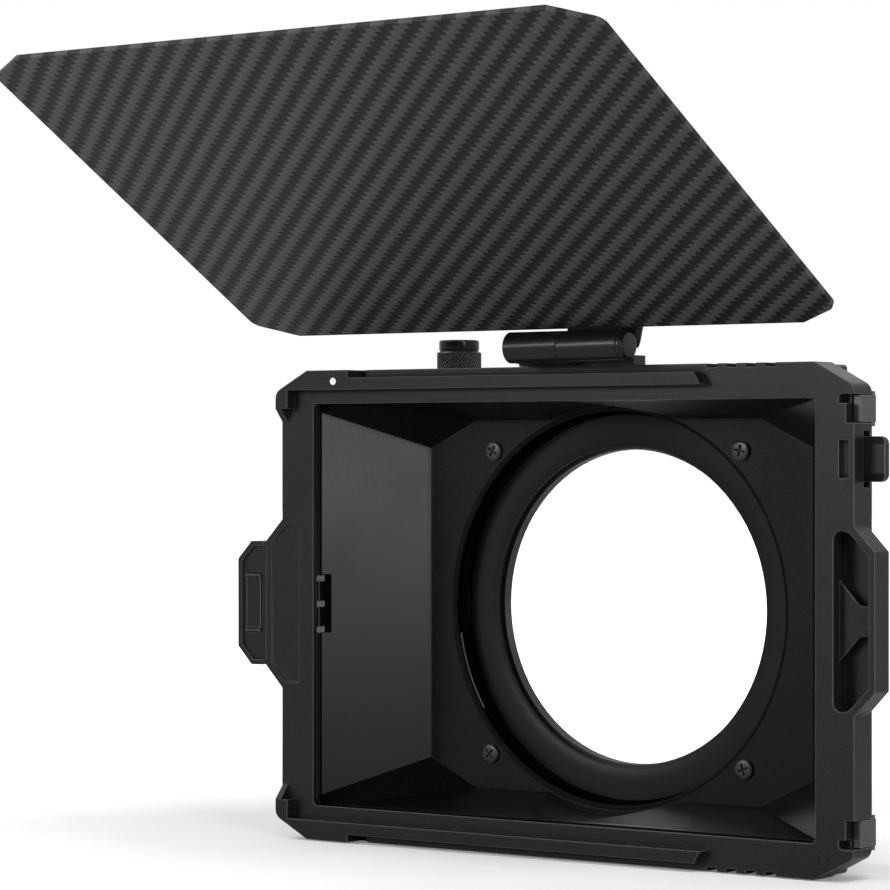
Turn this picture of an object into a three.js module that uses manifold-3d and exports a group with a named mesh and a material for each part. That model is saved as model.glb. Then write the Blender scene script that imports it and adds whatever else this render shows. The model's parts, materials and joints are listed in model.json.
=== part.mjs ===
// A clamp-on matte box for a camera lens: a wide front frame with a sliding filter tray, a funnel
// housing with a round bore, a clamped adapter ring that screws onto the lens, and a carbon top flag
// on a friction hinge. Millimetres, +Y rearwards along the optical axis, +Z up. The origin is the
// centre of the adapter ring's rear shoulder, where the lens rim seats.
import * as THREE from "three";
import { mergeVertices } from "three/addons/utils/BufferGeometryUtils.js";
import Module from "manifold-3d";

// Facets of the round forms
const bigSides = 80;
const midSides = 32;
const screwSides = 18;
const smallSides = 12;
const wireSides = 6;
const wireSteps = 12;
const turnSteps = 8;
const cornerSteps = 4;

// Clearances
const fitGap = 0.3;
const restGap = 0.05;
const slideGap = 0.2;
const overrun = 1;
const embed = 0.5;
const weldDistance = 0.0001;

// Filter that the tray holds
const filterWidth = 143.5;
const filterHeight = 101.6;
const filterThickness = 4;
const filterGap = 0.25;
const slotSlack = 0.1;

// Front frame
const frameSide = 7.75;
const frameEdge = 5.6;
const frameBack = 2.3;
const cornerRun = 10;
const cornerDrop = 5.3;
const cornerRadius = 2.5;
const cornerWall = 0.8;
const lipThickness = 1.4;
const openingSide = 1.88;
const openingEdge = 2.35;
const openingRadius = 1.1;
const openingLand = 0.6;
const openingUndercut = 0.8;

// Ears at both sides of the frame
const earReach = 5.14;
const earRootHalf = 20.5;
const earTipHalf = 15.1;
const earBack = 0.63;
const earRadius = 0.6;
const earPocketDepth = 0.5;
const earPocketEase = 0.4;
const earPocketInset = 2.14;
const earPocketReach = 4.8;
const earPocketHalf = 18.75;
const earPocketSlope = 4.4;

// Deep recess in the right ear, with its tapered rib
const earRecessFloor = 0.93;
const earRecessWall = 1.56;
const earRecessInner = 5.2;
const earRecessHalf = 20.3;
const earRecessShoulder = 1.25;
const earRecessShoulderHalf = 19.2;
const earRecessTipHalf = 14.3;
const earRecessInnerRadius = 2;
const earRecessTipRadius = 1;
const ribInset = 2.77;
const ribRootHalf = 8.75;
const ribNeck = 0.1;
const ribNeckHalf = 3.4;
const ribTipHalf = 3.1;

// Raised bars and corner lips on the front
const barHeight = 3;
const barLow = 4.65;
const barHigh = 1.85;
const barEndInset = 37.4;
const barEndSlant = 1.7;
const cornerLipWidth = 22.05;
const cornerLipInset = 0.3;
const sideLipWidth = 3.6;
const sideLipEnd = 9.1;
const sideLipRamp = 3.55;
const sideLipRampWidth = 1.6;
const edgeNotchWidth = 3.65;
const edgeNotchDepth = 2.5;
const dotRadius = 0.85;
const dotHeight = 0.12;
const dotFromLip = 4.25;
const dotDrop = 2.7;

// Grip notches in the top and bottom edges
const gripCount = 4;
const gripInset = 37.5;
const gripWidth = 2.72;
const gripPitch = 5.03;
const gripDepth = 0.9;
const gripLength = 5.5;

// Corner catches at the right side
const catchNotchDepth = 2.1;
const catchNotchTop = 7.1;
const catchNotchHeight = 6.3;
const catchGap = 0.22;
const catchSetback = 3;
const catchRear = 1.8;
const catchFoot = 1.35;
const catchFootExtra = 0.9;
const catchPocketWidth = 1.75;
const catchPocketHeight = 2;
const catchPocketDepth = 2.5;
const catchPocketRadius = 0.8;

// Release button in the right side
const buttonDrop = 21.25;
const buttonHalf = 4.95;
const buttonThickness = 1.9;
const buttonSetback = 3.4;
const buttonReach = 5.1;
const buttonBand = 1.9;
const buttonBandSlope = 0.8;
const buttonCornerRadius = 1.6;
const buttonTravel = 1.4;
const buttonSlotSetback = 3.66;
const buttonSlotBack = 0.86;
const buttonSlotHalf = 6.2;
const buttonSlotLip = 1.7;
const buttonFlange = 0.6;
const buttonFlangeExtra = 0.7;
const buttonCellExtra = 1;
const buttonCellSetback = 4.4;
const buttonCellBack = 0.7;
const buttonSpringSolid = 1.2;
const buttonMarkDepth = 1.1;
const buttonMarkHalf = 4.1;
const buttonMarkInner = 3.8;
const buttonMarkOuter = 1.3;

// Filter tray, its handle and its press block
const trayRail = 1.55;
const trayEndWall = 1.2;
const trayCornerRadius = 1;
const trayBlockBack = 0.8;
const trayBlockSeam = 0.14;
const handleSeam = 0.26;
const handleReach = 8.3;
const handleHalf = 15.1;
const handleStraight = 4.1;
const handleTipHalf = 10.7;
const handleProud = 0.3;
const handleRim = 1.2;
const handleRecess = 0.6;
const handleRadius = 0.8;
const lapReach = 3.5;
const lapHalf = 9;
const lapThickness = 1.9;
const pressHalf = 7.1;
const pressWidth = 4.4;
const pressInset = 2.55;
const pressProud = 0.3;
const pressEase = 0.3;
const pressRamp = 0.9;
const pressScoop = 0.5;
const pressTravel = 1;
const pressFlange = 0.7;
const pressFlangeExtra = 0.5;
const pressFlangeFront = 1.9;
const pressCellFront = 1.65;
const pressSpringSolid = 1.7;
const pressGap = 0.2;

// Sprung filter clip in the tray
const clipHalf = 7.2;
const clipBarWidth = 2.2;
const clipToothLength = 2.4;
const clipToothWidth = 1.4;
const clipToothPitch = 6.2;
const clipTravel = 1.9;
const clipShoulder = 1;
const clipShoulderWidth = 1.4;
const clipSpringSolid = 1;
const clipFloor = 0.4;
const clipSpringPitch = 4.2;
const clipTipInset = 0.3;

// Funnel and rear housing
const flangeSide = 6.5;
const flangeEdge = 3.4;
const bodyInset = 2.1;
const bodyEdge = 0.5;
const bodyStraight = 4.2;
const bodyCorner = 0.5;
const panelDepth = 26.2;
const rearLength = 11.3;
const rearSide = 4.2;
const rearEdge = 3.5;
const rearCornerRun = 14;
const rearCornerDrop = 12;
const funnelFrontSide = 1.73;
const funnelFrontEdge = 0.05;
const funnelFrontRun = 4.27;
const funnelFrontDrop = 2.1;
const funnelRearSide = 7.3;
const funnelRearBite = 1.95;
const funnelRearRun = 13.7;
const funnelRearDrop = 6.75;
const reliefStep = 1.8;
const clipWindowHalf = 7.1;
const clipWindowDepth = 1.8;
const clipWindowReach = 0.9;

// Bore sleeve and its wire spring
const boreRadius = 46.5;
const sleeveWall = 1.1;
const sleeveLength = 8.8;
const boreLip = 0.8;
const boreLipChamfer = 0.4;
const slitHeight = 1.5;
const slitHalf = 7.2;
const slitRoundShare = 0.999;
const slitFront = 1.6;
const wireRadius = 0.35;
const wireDepth = 1.7;
const wireGap = 0.15;
const wireStartDegrees = 189;
const wireEndDegrees = 213;

// Adapter ring and the threaded ring that it carries
const ringFront = 5.4;
const ringThickness = 3.3;
const ringRadialGap = 0.3;
const ringStep = 0.5;
const ringLand = 2;
const ringOverhang = 0.3;
const lensThread = 77;
const threadWall = 1.1;
const threadFlange = 0.6;
const threadFlangeReach = 2.5;
const threadLength = 2;

// Clamp: knurled knob, stud and shoe
const clampBack = 6.8;
const clampBossDrop = 0.2;
const knurlRadius = 5.45;
const knurlTeeth = 36;
const knurlDepth = 0.3;
const knurlHeight = 5.3;
const knobCapRadius = 4.95;
const knobCapHeight = 2.8;
const knobRounding = 0.5;
const studRadius = 2;
const studTipRise = 3;
const studInKnob = 3.8;
const shoeRadius = 4;
const shoeHalf = 7;
const shoeGap = 0.2;
const shoeStandoff = 0.15;
const clampPitch = 0.7;
const clampTurns = 1.5;

// Small screws
const panelScrewHeadRadius = 2.35;
const panelScrewHead = 0.8;
const panelScrewShank = 1.3;
const panelScrewLength = 5;
const panelScrewOut = 4.4;
const panelScrewUpperDegrees = 46.67;
const panelScrewLowerDegrees = 45.28;
const crossHalf = 1.4;
const crossArm = 0.25;
const crossDepth = 0.5;
const crossTurns = [30, 12, 45, 70];
const screwEdge = 0.2;
const socketRadius = 0.9;
const socketDepth = 0.5;
const smallHeadRadius = 1.7;
const smallHead = 0.8;
const smallShank = 0.8;
const frameScrewInset = 19.5;
const frameScrewDrop = 1.8;
const frameScrewBite = 4;
const frameScrewSeat = 3.2;
const handleScrewHalf = 6;
const handleScrewBite = 2;

// Top flag hinge
const hingeY = -6.5;
const hingeRise = 4.2;
const hingeBaseStart = -9;
const hingeBaseEnd = 22.75;
const hingeBaseDepth = 4.7;
const hingeBaseThickness = 2.15;
const fixedBarrelStart = -6.6;
const fixedBarrelEnd = 7.85;
const barrelSplit = 0.3;
const barrelLength = 17.75;
const barrelRadius = 3.6;
const barrelFillet = 1.15;
const barrelGrooveFromEnd = 1.5;
const armSpreadDegrees = 30;
const barrelGroove = 0.3;
const pinRadius = 1.5;
const pinGap = 0.15;
const pinFromStart = 0.4;
const pinCover = 3.9;
const washerRadius = 2.8;
const washerThickness = 0.2;
const hingeScrewFirstX = 7.2;
const hingeScrewSecondX = 15.3;
const hingeScrewLength = 4.2;

// Top flag
const flagRiseDegrees = 30.2;
const flagOffset = 4.29;
const flagThickness = 1.2;
const flagSetback = 0.77;
const flagLength = 114;
const flagSide = 0.9;
const flagCornerRun = 10.4;
const flagCornerDrop = 5.5;
const flagCornerRadius = 3;
const tongueStart = 8;
const tongueWidth = 20.4;
const tongueLength = 9;
const tongueTaper = 6.2;
const tongueRadius = 2.5;
const padHalf = 1.6;
const padInset = 0.6;
const flagScrewInset = 4.2;
const flagScrewPitch = 7.6;
const flagScrewBite = 2.3;

// Springs
const springWire = 0.15;
const springTurns = 2.5;
const clipSpringRadius = 1;
const buttonSpringRadius = 1.2;
const pressSpringRadius = 1.6;

// Planes and places that follow from the sizes above
const frameHalfWidth = filterWidth / 2 + frameSide;
const frameHalfHeight = filterHeight / 2 + frameEdge;
const openingHalfWidth = filterWidth / 2 - openingSide;
const openingHalfHeight = filterHeight / 2 - openingEdge;
const slotRear = lipThickness + filterThickness + slotSlack;
const frameDepth = slotRear + frameBack;
const trayFront = lipThickness + slideGap;
const trayRear = slotRear - slideGap;
const windowHalfWidth = filterWidth / 2 + filterGap;
const windowHalfHeight = filterHeight / 2 + filterGap;
const trayHalfHeight = windowHalfHeight + trayRail;
const trayEndX = windowHalfWidth + trayEndWall;
const trayLeftX = -(frameHalfWidth - slideGap);
const slotHalfHeight = trayHalfHeight + slideGap;
const slotEndX = trayEndX + slideGap;
const cornerRoom = frameHalfHeight - slotHalfHeight - cornerWall;
const slotWallX = -(frameHalfWidth - cornerRun + (cornerRoom * cornerRun) / cornerDrop);
const earTipX = frameHalfWidth + earReach;
const earDepth = slotRear + earBack;
const earRecessDepth = earDepth - earRecessFloor;
const blockRear = trayRear + trayBlockBack;
const blockTipX = -(earTipX - trayBlockSeam);
const blockRootX = -(frameHalfWidth + slideGap);
const pressCellRear = pressFlangeFront + pressFlange + pressTravel + pressSpringSolid;
const clipBarX = -(openingHalfWidth + clipTipInset + clipToothLength);
const clipBayBack = clipTravel + clipSpringSolid;
const buttonMidZ = frameHalfHeight - buttonDrop;
const buttonFront = frameDepth - buttonSetback;
const buttonSlotFront = frameDepth - buttonSlotSetback;
const buttonSlotRear = frameDepth - buttonSlotBack;
const buttonCellFront = frameDepth - buttonCellSetback;
const buttonCellRear = frameDepth - buttonCellBack;
const buttonSpringRoom = buttonTravel + buttonSpringSolid;
const bodyFront = frameDepth + restGap;
const flangeHalfWidth = frameHalfWidth - flangeSide;
const flangeHalfHeight = frameHalfHeight - flangeEdge;
const bodyHalfWidth = flangeHalfWidth - bodyInset;
const bodyHalfHeight = frameHalfHeight - bodyEdge;
const funnelFrontHalfWidth = openingHalfWidth + funnelFrontSide;
const funnelFrontHalfHeight = openingHalfHeight + funnelFrontEdge;
const funnelRearHalfWidth = boreRadius + funnelRearSide;
const funnelRearHalfHeight = boreRadius - funnelRearBite;
const reliefRadius = boreRadius + reliefStep;
const rearHalfWidth = funnelRearHalfWidth + rearSide;
const rearHalfHeight = boreRadius + rearEdge;
const rearDepth = panelDepth + rearLength;
const sleeveFront = panelDepth + boreLip + restGap;
const sleeveOuter = boreRadius + sleeveWall;
const housingBore = sleeveOuter + fitGap;
const ringOuter = boreRadius - ringRadialGap;
const ringFace = panelDepth + ringFront;
const ringSeat = ringFace + ringThickness;
const threadOuterRadius = lensThread / 2;
const threadInnerRadius = threadOuterRadius - threadWall;
const threadFlangeRadius = threadOuterRadius + threadFlangeReach;
const ringBoreRadius = threadOuterRadius - ringOverhang;
const ringLandRadius = threadOuterRadius + ringLand;
const clampX = -(ringOuter + shoeRadius + shoeStandoff);
const clampY = panelDepth + clampBack;
const clampBossTop = frameHalfHeight - clampBossDrop;
const knurlTop = clampBossTop + knurlHeight;
const knobTop = knurlTop + knobCapHeight;
const clampTravel = clampPitch * clampTurns;
const shoePocketRadius = shoeRadius + fitGap;
const hingeZ = frameHalfHeight + hingeRise;
const barLowZ = frameHalfHeight - barLow;
const barHighZ = frameHalfHeight - barHigh;
const lipLeftX = -(frameHalfWidth - cornerLipInset);
const lipRightX = lipLeftX + cornerLipWidth;
const barEndX = frameHalfWidth - barEndInset;
const gripStartX = frameHalfWidth - gripInset;
const frameScrewX = frameHalfWidth - frameScrewInset;
const flagHalfWidth = frameHalfWidth + flagSide;

const wasm = await Module();
wasm.setup();

// Solids from geometry

function volumeOf(position, index) {
  const [a, b, c] = [new THREE.Vector3(), new THREE.Vector3(), new THREE.Vector3()];
  let volume = 0;
  for (let i = 0; i < index.length; i += 3) {
    a.fromBufferAttribute(position, index[i]);
    b.fromBufferAttribute(position, index[i + 1]);
    c.fromBufferAttribute(position, index[i + 2]);
    volume += a.dot(b.cross(c));
  }
  return volume;
}

function solid(geometry) {
  const bare = geometry.index ? geometry.toNonIndexed() : geometry;
  const points = new THREE.BufferGeometry();
  points.setAttribute("position", bare.getAttribute("position"));
  const merged = mergeVertices(points, weldDistance);
  const index = [];
  const all = merged.index.array;
  for (let i = 0; i < all.length; i += 3) {
    const [a, b, c] = [all[i], all[i + 1], all[i + 2]];
    if (a !== b && b !== c && c !== a) index.push(a, b, c);
  }
  if (volumeOf(merged.getAttribute("position"), index) < 0) index.reverse();
  const mesh = new wasm.Mesh({
    numProp: 3,
    vertProperties: merged.getAttribute("position").array,
    triVerts: new Uint32Array(index),
  });
  return new wasm.Manifold(mesh);
}

function joined(first, ...others) {
  return others.reduce((sum, next) => sum.add(next), first);
}

function cutBy(first, ...others) {
  return others.reduce((rest, next) => rest.subtract(next), first);
}

// An outline's points from corners [x, z, radius]; a corner with a radius becomes an arc.
function rounded(corners) {
  const points = [];
  corners.forEach(([x, z, radius = 0], i) => {
    const here = new THREE.Vector2(x, z);
    if (!radius) {
      points.push(here);
      return;
    }
    const before = new THREE.Vector2(...corners.at(i - 1).slice(0, 2));
    const after = new THREE.Vector2(...corners[(i + 1) % corners.length].slice(0, 2));
    const back = before.sub(here).normalize();
    const ahead = after.sub(here).normalize();
    const half = Math.acos(back.dot(ahead)) / 2;
    const start = here.clone().addScaledVector(back, radius / Math.tan(half));
    const middle = back.clone().add(ahead).normalize();
    const centre = here.clone().addScaledVector(middle, radius / Math.sin(half));
    const turn = (Math.PI - 2 * half) * -Math.sign(back.cross(ahead));
    for (let k = 0; k <= cornerSteps; k += 1) {
      points.push(start.clone().rotateAround(centre, (turn * k) / cornerSteps));
    }
  });
  return points;
}

function rectangle(x0, x1, z0, z1, radius = 0) {
  return [[x0, z0, radius], [x1, z0, radius], [x1, z1, radius], [x0, z1, radius]];
}

function extruded(corners, length) {
  const shape = new THREE.Shape(rounded(corners));
  return new THREE.ExtrudeGeometry(shape, { depth: length, bevelEnabled: false });
}

const unitX = new THREE.Vector3(1, 0, 0);
const unitY = new THREE.Vector3(0, 1, 0);
const unitZ = new THREE.Vector3(0, 0, 1);
const ontoXZ = new THREE.Matrix4().makeBasis(unitX, unitZ, unitY.clone().negate());
const ontoYZ = new THREE.Matrix4().makeBasis(unitY, unitZ, unitX);

// Outlines in X and Z, extruded along Y
function prismY(corners, y0, y1) {
  return solid(extruded(corners, y1 - y0).applyMatrix4(ontoXZ).translate(0, y1, 0));
}

// Outlines in Y and Z, extruded along X
function prismX(corners, x0, x1) {
  return solid(extruded(corners, x1 - x0).applyMatrix4(ontoYZ).translate(x0, 0, 0));
}

// Outlines in X and Y, extruded along Z
function prismZ(corners, z0, z1) {
  return solid(extruded(corners, z1 - z0).translate(0, 0, z0));
}

function block(x0, x1, y0, y1, z0, z1) {
  const box = new THREE.BoxGeometry(x1 - x0, y1 - y0, z1 - z0);
  return solid(box.translate((x0 + x1) / 2, (y0 + y1) / 2, (z0 + z1) / 2));
}

// A profile of [radius, height] turned about the Y axis, or about X or Z through a point
function turned(profile, sides) {
  const points = profile.map(([r, y]) => new THREE.Vector2(r, y));
  return new THREE.LatheGeometry(points, sides);
}

function turnedY(profile, x, z, sides) {
  return solid(turned(profile, sides).translate(x, 0, z));
}

function turnedX(profile, y, z, sides) {
  return solid(turned(profile, sides).rotateZ(-Math.PI / 2).translate(0, y, z));
}

function turnedZ(profile, x, y, sides) {
  return solid(turned(profile, sides).rotateX(Math.PI / 2).translate(x, y, 0));
}

function rod(radius, from, to) {
  return [[0, from], [radius, from], [radius, to], [0, to]];
}

function tube(inner, outer, from, to) {
  return [[inner, from], [outer, from], [outer, to], [inner, to], [inner, from]];
}

// A solid between two outlines of the same count, at two depths
function loft(front, y0, rear, y1) {
  const count = front.length;
  const positions = [];
  front.forEach(([x, z]) => positions.push(x, y0, z));
  rear.forEach(([x, z]) => positions.push(x, y1, z));
  const index = [];
  for (let i = 0; i < count; i += 1) {
    const j = (i + 1) % count;
    index.push(i, j, count + j, i, count + j, count + i);
    if (i > 0 && j > 0) {
      index.push(0, j, i);
      index.push(count, count + i, count + j);
    }
  }
  const geometry = new THREE.BufferGeometry();
  geometry.setAttribute("position", new THREE.Float32BufferAttribute(positions, 3));
  geometry.setIndex(index);
  return solid(geometry);
}

// An eight-sided outline: a rectangle with sloped corners
function octagon(halfWidth, halfHeight, run, drop) {
  const corner = [[halfWidth, halfHeight - drop], [halfWidth - run, halfHeight]];
  const mirrored = corner.map(([x, z]) => [-x, z]).reverse();
  const upper = [...corner, ...mirrored];
  return [...upper, ...upper.map(([x, z]) => [-x, -z])];
}

// A round wire along a curve
function wire(curve, radius, steps) {
  const rim = Array.from({ length: wireSides }, (_, i) => {
    const angle = (2 * Math.PI * i) / wireSides;
    return new THREE.Vector2(radius * Math.cos(angle), radius * Math.sin(angle));
  });
  const options = { steps, bevelEnabled: false, extrudePath: curve };
  return new THREE.ExtrudeGeometry(new THREE.Shape(rim), options);
}

class CoilCurve extends THREE.Curve {
  constructor(radius, length, turns) {
    super();
    Object.assign(this, { radius, length, turns });
  }

  getPoint(t) {
    const angle = 2 * Math.PI * this.turns * t;
    const [x, z] = [this.radius * Math.cos(angle), this.radius * Math.sin(angle)];
    return new THREE.Vector3(x, this.length * t, z);
  }
}

// A small compression spring along +Y, from its first end's wire to its last
function coil(radius, length) {
  const curve = new CoilCurve(radius, length - 2 * springWire, springTurns);
  return wire(curve, springWire, Math.round(springTurns * turnSteps)).translate(0, springWire, 0);
}

// Shapes that two pieces share

function frameEdgeZ(x) {
  const past = Math.max(0, Math.abs(x) - (frameHalfWidth - cornerRun));
  return frameHalfHeight - (past * cornerDrop) / cornerRun;
}

// The tray's outline: its left end follows the frame's sloped corners and steps down to the slot.
function trayCorners() {
  const shoulderX = slotWallX - slideGap;
  const tipZ = frameEdgeZ(trayLeftX) - slideGap;
  const shoulderZ = frameEdgeZ(shoulderX) - slideGap;
  return [
    [trayLeftX, -tipZ, cornerRadius],
    [shoulderX, -shoulderZ],
    [shoulderX, -trayHalfHeight],
    [trayEndX, -trayHalfHeight, trayCornerRadius],
    [trayEndX, trayHalfHeight, trayCornerRadius],
    [shoulderX, trayHalfHeight],
    [shoulderX, shoulderZ],
    [trayLeftX, tipZ, cornerRadius],
  ];
}

function earCorners(side, rootX, inset) {
  return [
    [side * rootX, -earRootHalf + inset],
    [side * frameHalfWidth, -earRootHalf + inset],
    [side * (earTipX - inset), -earTipHalf + inset, earRadius],
    [side * (earTipX - inset), earTipHalf - inset, earRadius],
    [side * frameHalfWidth, earRootHalf - inset],
    [side * rootX, earRootHalf - inset],
  ];
}

function shoeRoom(radius, fromZ, toZ) {
  return turnedZ(rod(radius, fromZ, toZ), clampX, clampY, midSides);
}

function clampHole(fromZ, toZ) {
  return shoeRoom(studRadius + fitGap, fromZ, toZ);
}

// Front frame

function frameBody() {
  const side = frameHalfWidth;
  const top = frameHalfHeight;
  const slopeX = side - cornerRun;
  const slopeZ = top - cornerDrop;
  const edge = [
    [side, -slopeZ, cornerRadius],
    [side, slopeZ, cornerRadius],
    [slopeX, top],
    [-slopeX, top],
    [-side, slopeZ, cornerRadius],
    [-side, -slopeZ, cornerRadius],
    [-slopeX, -top],
    [slopeX, -top],
  ];
  const ears = [
    prismY(earCorners(1, side - earReach, 0), 0, earDepth),
    prismY(earCorners(-1, side - earReach, 0), 0, lipThickness),
  ];
  return joined(prismY(edge, 0, frameDepth), ...ears);
}

function frameRooms() {
  const leftEnd = -(frameHalfWidth + overrun);
  const slot = [
    [leftEnd, -slotHalfHeight],
    [slotEndX, -slotHalfHeight, trayCornerRadius],
    [slotEndX, slotHalfHeight, trayCornerRadius],
    [leftEnd, slotHalfHeight],
  ];
  const top = frameHalfHeight;
  const ring = [flangeHalfWidth + fitGap, flangeHalfHeight + fitGap];
  const [w, h] = [openingHalfWidth, openingHalfHeight];
  const wide = w + openingUndercut;
  const high = h + openingUndercut;
  const frontEdge = rectangle(-w, w, -h, h);
  const rearEdge = rectangle(-wide, wide, -high, high);
  return [
    prismY(slot, lipThickness, slotRear),
    block(leftEnd, slotWallX, lipThickness, slotRear, -top, top),
    prismY(rectangle(-ring[0], ring[0], -ring[1], ring[1]), slotRear, frameDepth + overrun),
    prismY(rectangle(-w, w, -h, h, openingRadius), -overrun, lipThickness + overrun),
    loft(frontEdge, openingLand, rearEdge, lipThickness),
  ];
}

// One corner lip and bar, at the top for sign 1 and at the bottom for sign -1
function frontBars(sign) {
  const lipEndZ = frameHalfHeight - sideLipEnd;
  const lipInnerX = lipLeftX + sideLipWidth;
  const lip = [
    [lipRightX, sign * barLowZ],
    [lipRightX, sign * frameHalfHeight],
    [-(frameHalfWidth - cornerRun), sign * frameHalfHeight],
    [lipLeftX, sign * frameEdgeZ(lipLeftX), cornerRadius],
    [lipLeftX, sign * lipEndZ],
    [lipInnerX, sign * lipEndZ],
    [lipInnerX, sign * barLowZ],
  ];
  const bar = [
    [lipRightX - overrun, sign * barLowZ],
    [barEndX, sign * barLowZ],
    [barEndX - barEndSlant, sign * barHighZ],
    [lipRightX - overrun, sign * barHighZ],
  ];
  const ramp = [
    [openingLand, sign * lipEndZ],
    [-barHeight, sign * lipEndZ],
    [0, sign * (lipEndZ - sideLipRamp)],
    [openingLand, sign * (lipEndZ - sideLipRamp)],
  ];
  return [
    prismY(lip, -barHeight, openingLand),
    prismY(bar, -barHeight, openingLand),
    prismX(ramp, lipLeftX, lipLeftX + sideLipRampWidth),
  ];
}

// Notches at the top for sign 1 and at the bottom for sign -1
function edgeCuts(sign) {
  const band = (low, high) => [sign * low, sign * high].sort((a, b) => a - b);
  const [notchLow, notchHigh] = band(barHighZ, frameHalfHeight + overrun);
  const [gripLow, gripHigh] = band(frameHalfHeight - gripDepth, frameHalfHeight + overrun);
  const catchTop = frameHalfHeight - catchNotchTop;
  const [catchLow, catchHigh] = band(catchTop - catchNotchHeight, catchTop);
  const catchX = frameHalfWidth - catchNotchDepth;
  const notchX = lipRightX + edgeNotchWidth;
  const pocketX = catchX - catchPocketWidth;
  const pocket = [
    [catchX + embed, sign * (catchTop - catchPocketHeight)],
    [catchX + embed, sign * catchTop],
    [pocketX, sign * catchTop, catchPocketRadius],
    [pocketX, sign * (catchTop - catchPocketHeight)],
  ];
  const cuts = [
    block(lipRightX, notchX, -overrun, edgeNotchDepth, notchLow, notchHigh),
    block(catchX, frameHalfWidth + overrun, -overrun, frameDepth + overrun, catchLow, catchHigh),
    prismY(pocket, -overrun, catchPocketDepth),
  ];
  for (let i = 0; i < gripCount; i += 1) {
    const x = gripStartX + i * gripPitch;
    cuts.push(block(x, x + gripWidth, -overrun, gripLength, gripLow, gripHigh));
  }
  return cuts;
}

function earCuts() {
  const tipX = earTipX - earRecessWall;
  const innerX = frameHalfWidth - earRecessInner;
  const shoulderX = frameHalfWidth - earRecessShoulder;
  const recess = [
    [innerX, -earRecessHalf, earRecessInnerRadius],
    [shoulderX, -earRecessShoulderHalf],
    [tipX, -earRecessTipHalf, earRecessTipRadius],
    [tipX, earRecessTipHalf, earRecessTipRadius],
    [shoulderX, earRecessShoulderHalf],
    [innerX, earRecessHalf, earRecessInnerRadius],
  ];
  const neckX = frameHalfWidth - ribNeck;
  const rib = [
    [innerX - embed, -ribRootHalf],
    [innerX, -ribRootHalf],
    [neckX, -ribNeckHalf],
    [tipX + embed, -ribTipHalf],
    [tipX + embed, ribTipHalf],
    [neckX, ribNeckHalf],
    [innerX, ribRootHalf],
    [innerX - embed, ribRootHalf],
  ];
  const room = prismY(recess, -overrun, earRecessDepth);
  const ribBody = prismY(rib, ribInset, earRecessDepth + embed);
  const outer = earPocketCorners(2 * earPocketEase);
  const pocket = loft(outer, -earPocketDepth, earPocketCorners(0), earPocketDepth);
  return [cutBy(room, ribBody), pocket];
}

function earPocketCorners(extra) {
  const innerX = -(frameHalfWidth - earPocketReach - extra);
  const tipX = -(earTipX - earPocketInset + extra);
  const high = earPocketHalf + extra;
  return [
    [innerX, -high],
    [innerX, high],
    [tipX + earPocketSlope, high],
    [tipX, high - earPocketSlope],
    [tipX, earPocketSlope - high],
    [tipX + earPocketSlope, -high],
  ];
}

function buttonCuts() {
  const cellInner = frameHalfWidth - buttonSlotLip - buttonFlange - fitGap - buttonSpringRoom;
  const cellOuter = frameHalfWidth - buttonSlotLip;
  const cellHalf = buttonSlotHalf + buttonCellExtra;
  const markX = [frameHalfWidth - buttonMarkInner, frameHalfWidth - buttonMarkOuter];
  const slotZ = [buttonMidZ - buttonSlotHalf, buttonMidZ + buttonSlotHalf];
  const cellZ = [buttonMidZ - cellHalf, buttonMidZ + cellHalf];
  const markZ = [buttonMidZ - buttonMarkHalf, buttonMidZ + buttonMarkHalf];
  const outside = frameHalfWidth + overrun;
  return [
    block(cellOuter - overrun, outside, buttonSlotFront, buttonSlotRear, ...slotZ),
    block(cellInner, cellOuter, buttonCellFront, buttonCellRear, ...cellZ),
    block(...markX, -overrun, buttonMarkDepth, ...markZ),
  ];
}

function screwHoles() {
  const holes = [];
  const z = frameHalfHeight - frameScrewDrop;
  const bored = rod(smallShank + fitGap, frameDepth - frameScrewBite, frameDepth + overrun);
  for (const [x, side] of [[-frameScrewX, 1], [frameScrewX, 1], [-frameScrewX, -1], [frameScrewX, -1]]) {
    holes.push(turnedY(bored, x, side * z, smallSides));
  }
  const depth = frameHalfHeight + hingeBaseThickness - hingeScrewLength - fitGap;
  for (const x of [hingeScrewFirstX, hingeScrewSecondX]) {
    const hole = rod(smallShank + fitGap, depth, frameHalfHeight + overrun);
    holes.push(turnedZ(hole, x, hingeBaseDepth / 2, smallSides));
  }
  return holes;
}

function frontFrame() {
  const rooms = [...frameRooms(), ...earCuts(), ...buttonCuts(), ...screwHoles()];
  const cuts = [...rooms, ...edgeCuts(1), ...edgeCuts(-1)];
  return joined(cutBy(frameBody(), ...cuts), ...frontBars(1), ...frontBars(-1));
}

function indexDot() {
  const x = lipRightX - dotFromLip;
  const z = frameHalfHeight - dotDrop;
  return turnedY(rod(dotRadius, -barHeight - dotHeight, -barHeight), x, z, midSides);
}

// The catch that grips the frame at the right, at the top for sign 1
function cornerCatch(sign) {
  const topZ = frameHalfHeight - catchNotchTop - catchGap;
  const lowZ = topZ - (catchNotchHeight - 2 * catchGap);
  const band = (extra) => [sign * (lowZ - extra), sign * (topZ + extra)].sort((a, b) => a - b);
  const fingerX = frameHalfWidth - catchNotchDepth + fitGap;
  const rearY = frameDepth + catchRear;
  const footX = bodyHalfWidth + restGap;
  const finger = block(fingerX, frameHalfWidth, catchSetback, rearY, ...band(0));
  const foot = block(footX, frameHalfWidth, bodyFront, bodyFront + catchFoot, ...band(catchFootExtra));
  return joined(finger, foot);
}

// Release button

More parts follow.
